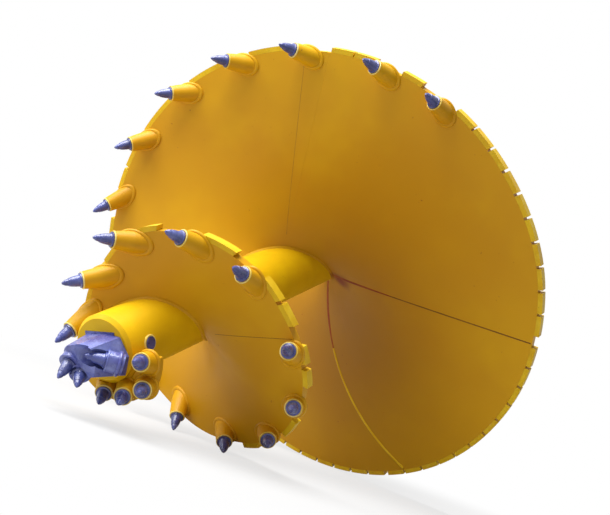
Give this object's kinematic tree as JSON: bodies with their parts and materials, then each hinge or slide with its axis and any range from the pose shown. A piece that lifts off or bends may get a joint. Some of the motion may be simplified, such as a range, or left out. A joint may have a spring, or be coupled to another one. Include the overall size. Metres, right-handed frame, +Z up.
{
  "type": "rock auger drilling tool",
  "caption": "Conical rock auger for a rotary drilling rig, one growing spiral flight on a slim stem, lying on its side, with turning bullet picks, wear bars, pilot and square drive box.",
  "frame": {"origin": "on the floor, under the middle of the tool's bounding box as the tool lies", "axes": "+X level, from the pilot end towards the drive end; +Y level, across the stem; +Z up"},
  "size_m": [1.7344, 1.5255, 1.1507],
  "materials": {
    "yellow_paint": "gloss paint",
    "bar_paint": "gloss paint on hard-faced bars",
    "blue_paint": "satin paint"
  },
  "bodies": {
    "auger": {"bars_growing": "bar_paint", "bars_lead": "bar_paint", "bars_middle": "bar_paint", "bars_outer": "bar_paint", "bars_small": "bar_paint", "bars_top": "bar_paint", "counter_plate": "yellow_paint", "drive_flange": "yellow_paint", "drive_gussets": "yellow_paint", "flight_growing": "yellow_paint", "flight_lead": "yellow_paint", "flight_middle": "yellow_paint", "flight_outer": "yellow_paint", "flight_small": "yellow_paint", "flight_top": "yellow_paint", "holders_counter": "yellow_paint", "holders_growing": "yellow_paint", "holders_lead": "yellow_paint", "holders_outer": "yellow_paint", "holders_small": "yellow_paint", "kelly_box": "yellow_paint", "kelly_box_sides": "yellow_paint", "pilot": "blue_paint", "pilot_pin": "blue_paint", "stem": "yellow_paint"},
    "pick_01": {"pick_01": "blue_paint"},
    "pick_02": {"pick_02": "blue_paint"},
    "pick_03": {"pick_03": "blue_paint"},
    "pick_04": {"pick_04": "blue_paint"},
    "pick_05": {"pick_05": "blue_paint"},
    "pick_06": {"pick_06": "blue_paint"},
    "pick_07": {"pick_07": "blue_paint"},
    "pick_08": {"pick_08": "blue_paint"},
    "pick_09": {"pick_09": "blue_paint"},
    "pick_10": {"pick_10": "blue_paint"},
    "pick_11": {"pick_11": "blue_paint"},
    "pick_12": {"pick_12": "blue_paint"},
    "pick_13": {"pick_13": "blue_paint"},
    "pick_14": {"pick_14": "blue_paint"},
    "pick_15": {"pick_15": "blue_paint"},
    "pick_16": {"pick_16": "blue_paint"},
    "pick_17": {"pick_17": "blue_paint"},
    "pick_18": {"pick_18": "blue_paint"},
    "pick_19": {"pick_19": "blue_paint"},
    "pick_20": {"pick_20": "blue_paint"},
    "pick_21": {"pick_21": "blue_paint"},
    "pick_22": {"pick_22": "blue_paint"},
    "pick_23": {"pick_23": "blue_paint"},
    "pick_24": {"pick_24": "blue_paint"},
    "pick_25": {"pick_25": "blue_paint"},
    "pick_26": {"pick_26": "blue_paint"},
    "pick_27": {"pick_27": "blue_paint"}
  },
  "joints": [
    {"name": "pick_01_spin", "type": "hinge", "parent": "auger", "child": "pick_01", "pos_m": [-0.74586, 0.12228, 0.17737], "axis": [-0.6305, 0.1076, -0.7687], "continuous": true},
    {"name": "pick_02_spin", "type": "hinge", "parent": "auger", "child": "pick_02", "pos_m": [-0.7546, 0.1361, 0.29943], "axis": [-0.6968, 0.5388, -0.4735], "continuous": true},
    {"name": "pick_03_spin", "type": "hinge", "parent": "auger", "child": "pick_03", "pos_m": [-0.77558, 0.07616, 0.4139], "axis": [-0.8186, 0.5225, -0.2386], "continuous": true},
    {"name": "pick_04_spin", "type": "hinge", "parent": "auger", "child": "pick_04", "pos_m": [-0.75319, -0.09111, 0.46586], "axis": [-0.9454, 0.3257, 0.0061], "continuous": true},
    {"name": "pick_05_spin", "type": "hinge", "parent": "auger", "child": "pick_05", "pos_m": [-0.69414, -0.24809, 0.43129], "axis": [-0.9932, 0.0618, 0.0983], "continuous": true},
    {"name": "pick_06_spin", "type": "hinge", "parent": "auger", "child": "pick_06", "pos_m": [-0.58063, -0.36934, 0.29958], "axis": [-0.9683, -0.2447, 0.0502], "continuous": true},
    {"name": "pick_07_spin", "type": "hinge", "parent": "auger", "child": "pick_07", "pos_m": [-0.4865, -0.38525, 0.17618], "axis": [-0.9097, -0.4105, -0.0629], "continuous": true},
    {"name": "pick_08_spin", "type": "hinge", "parent": "auger", "child": "pick_08", "pos_m": [-0.38749, -0.30146, 0.07595], "axis": [-0.8226, -0.5197, -0.2309], "continuous": true},
    {"name": "pick_09_spin", "type": "hinge", "parent": "auger", "child": "pick_09", "pos_m": [-0.29982, -0.13994, 0.02497], "axis": [-0.7009, -0.5404, -0.4655], "continuous": true},
    {"name": "pick_10_spin", "type": "hinge", "parent": "auger", "child": "pick_10", "pos_m": [-0.23358, 0.06366, 0.03642], "axis": [-0.5722, -0.4038, -0.7138], "continuous": true},
    {"name": "pick_11_spin", "type": "hinge", "parent": "auger", "child": "pick_11", "pos_m": [-0.20399, 0.22563, 0.08059], "axis": [-0.5113, -0.2183, -0.8312], "continuous": true},
    {"name": "pick_12_spin", "type": "hinge", "parent": "auger", "child": "pick_12", "pos_m": [-0.20795, 0.37864, 0.18946], "axis": [-0.4904, 0.005, -0.8715], "continuous": true},
    {"name": "pick_13_spin", "type": "hinge", "parent": "auger", "child": "pick_13", "pos_m": [-0.2428, 0.4763, 0.35371], "axis": [-0.5114, 0.2187, -0.8311], "continuous": true},
    {"name": "pick_14_spin", "type": "hinge", "parent": "auger", "child": "pick_14", "pos_m": [-0.29688, 0.50545, 0.55502], "axis": [-0.5691, 0.3976, -0.7197], "continuous": true},
    {"name": "pick_15_spin", "type": "hinge", "parent": "auger", "child": "pick_15", "pos_m": [-0.35024, 0.46312, 0.74231], "axis": [-0.6422, 0.5026, -0.5788], "continuous": true},
    {"name": "pick_16_spin", "type": "hinge", "parent": "auger", "child": "pick_16", "pos_m": [-0.39452, 0.35437, 0.90786], "axis": [-0.723, 0.5463, -0.423], "continuous": true},
    {"name": "pick_17_spin", "type": "hinge", "parent": "auger", "child": "pick_17", "pos_m": [-0.41729, 0.19299, 1.0277], "axis": [-0.8016, 0.5327, -0.2713], "continuous": true},
    {"name": "pick_18_spin", "type": "hinge", "parent": "auger", "child": "pick_18", "pos_m": [-0.41379, -0.00097, 1.09477], "axis": [-0.8726, 0.4696, -0.1343], "continuous": true},
    {"name": "pick_19_spin", "type": "hinge", "parent": "auger", "child": "pick_19", "pos_m": [-0.37435, -0.23517, 1.10096], "axis": [-0.9373, 0.3483, -0.0095], "continuous": true},
    {"name": "pick_20_spin", "type": "hinge", "parent": "auger", "child": "pick_20", "pos_m": [-0.31708, -0.40897, 1.05379], "axis": [-0.9722, 0.227, 0.0577], "continuous": true},
    {"name": "pick_21_spin", "type": "hinge", "parent": "auger", "child": "pick_21", "pos_m": [-0.79466, -0.13223, 0.16516], "axis": [-0.9601, -0.2753, -0.0502], "continuous": true},
    {"name": "pick_22_spin", "type": "hinge", "parent": "auger", "child": "pick_22", "pos_m": [-0.76008, -0.13883, 0.10608], "axis": [-0.8825, -0.4538, -0.1236], "continuous": true},
    {"name": "pick_23_spin", "type": "hinge", "parent": "auger", "child": "pick_23", "pos_m": [-0.74604, -0.08546, 0.07587], "axis": [-0.8331, -0.4539, -0.3163], "continuous": true},
    {"name": "pick_24_spin", "type": "hinge", "parent": "auger", "child": "pick_24", "pos_m": [-0.72072, -0.01519, 0.06523], "axis": [-0.7466, -0.4517, -0.4883], "continuous": true},
    {"name": "pick_25_spin", "type": "hinge", "parent": "auger", "child": "pick_25", "pos_m": [-0.81875, -0.05793, 0.14301], "axis": [-0.6487, 0.7582, -0.0656], "continuous": true},
    {"name": "pick_26_spin", "type": "hinge", "parent": "auger", "child": "pick_26", "pos_m": [-0.83463, 0.02339, 0.10847], "axis": [-0.6395, -0.1751, -0.7486], "continuous": true},
    {"name": "pick_27_spin", "type": "hinge", "parent": "auger", "child": "pick_27", "pos_m": [-0.81816, -0.00368, 0.09409], "axis": [-0.63, -0.5422, -0.556], "continuous": true}
  ]
}
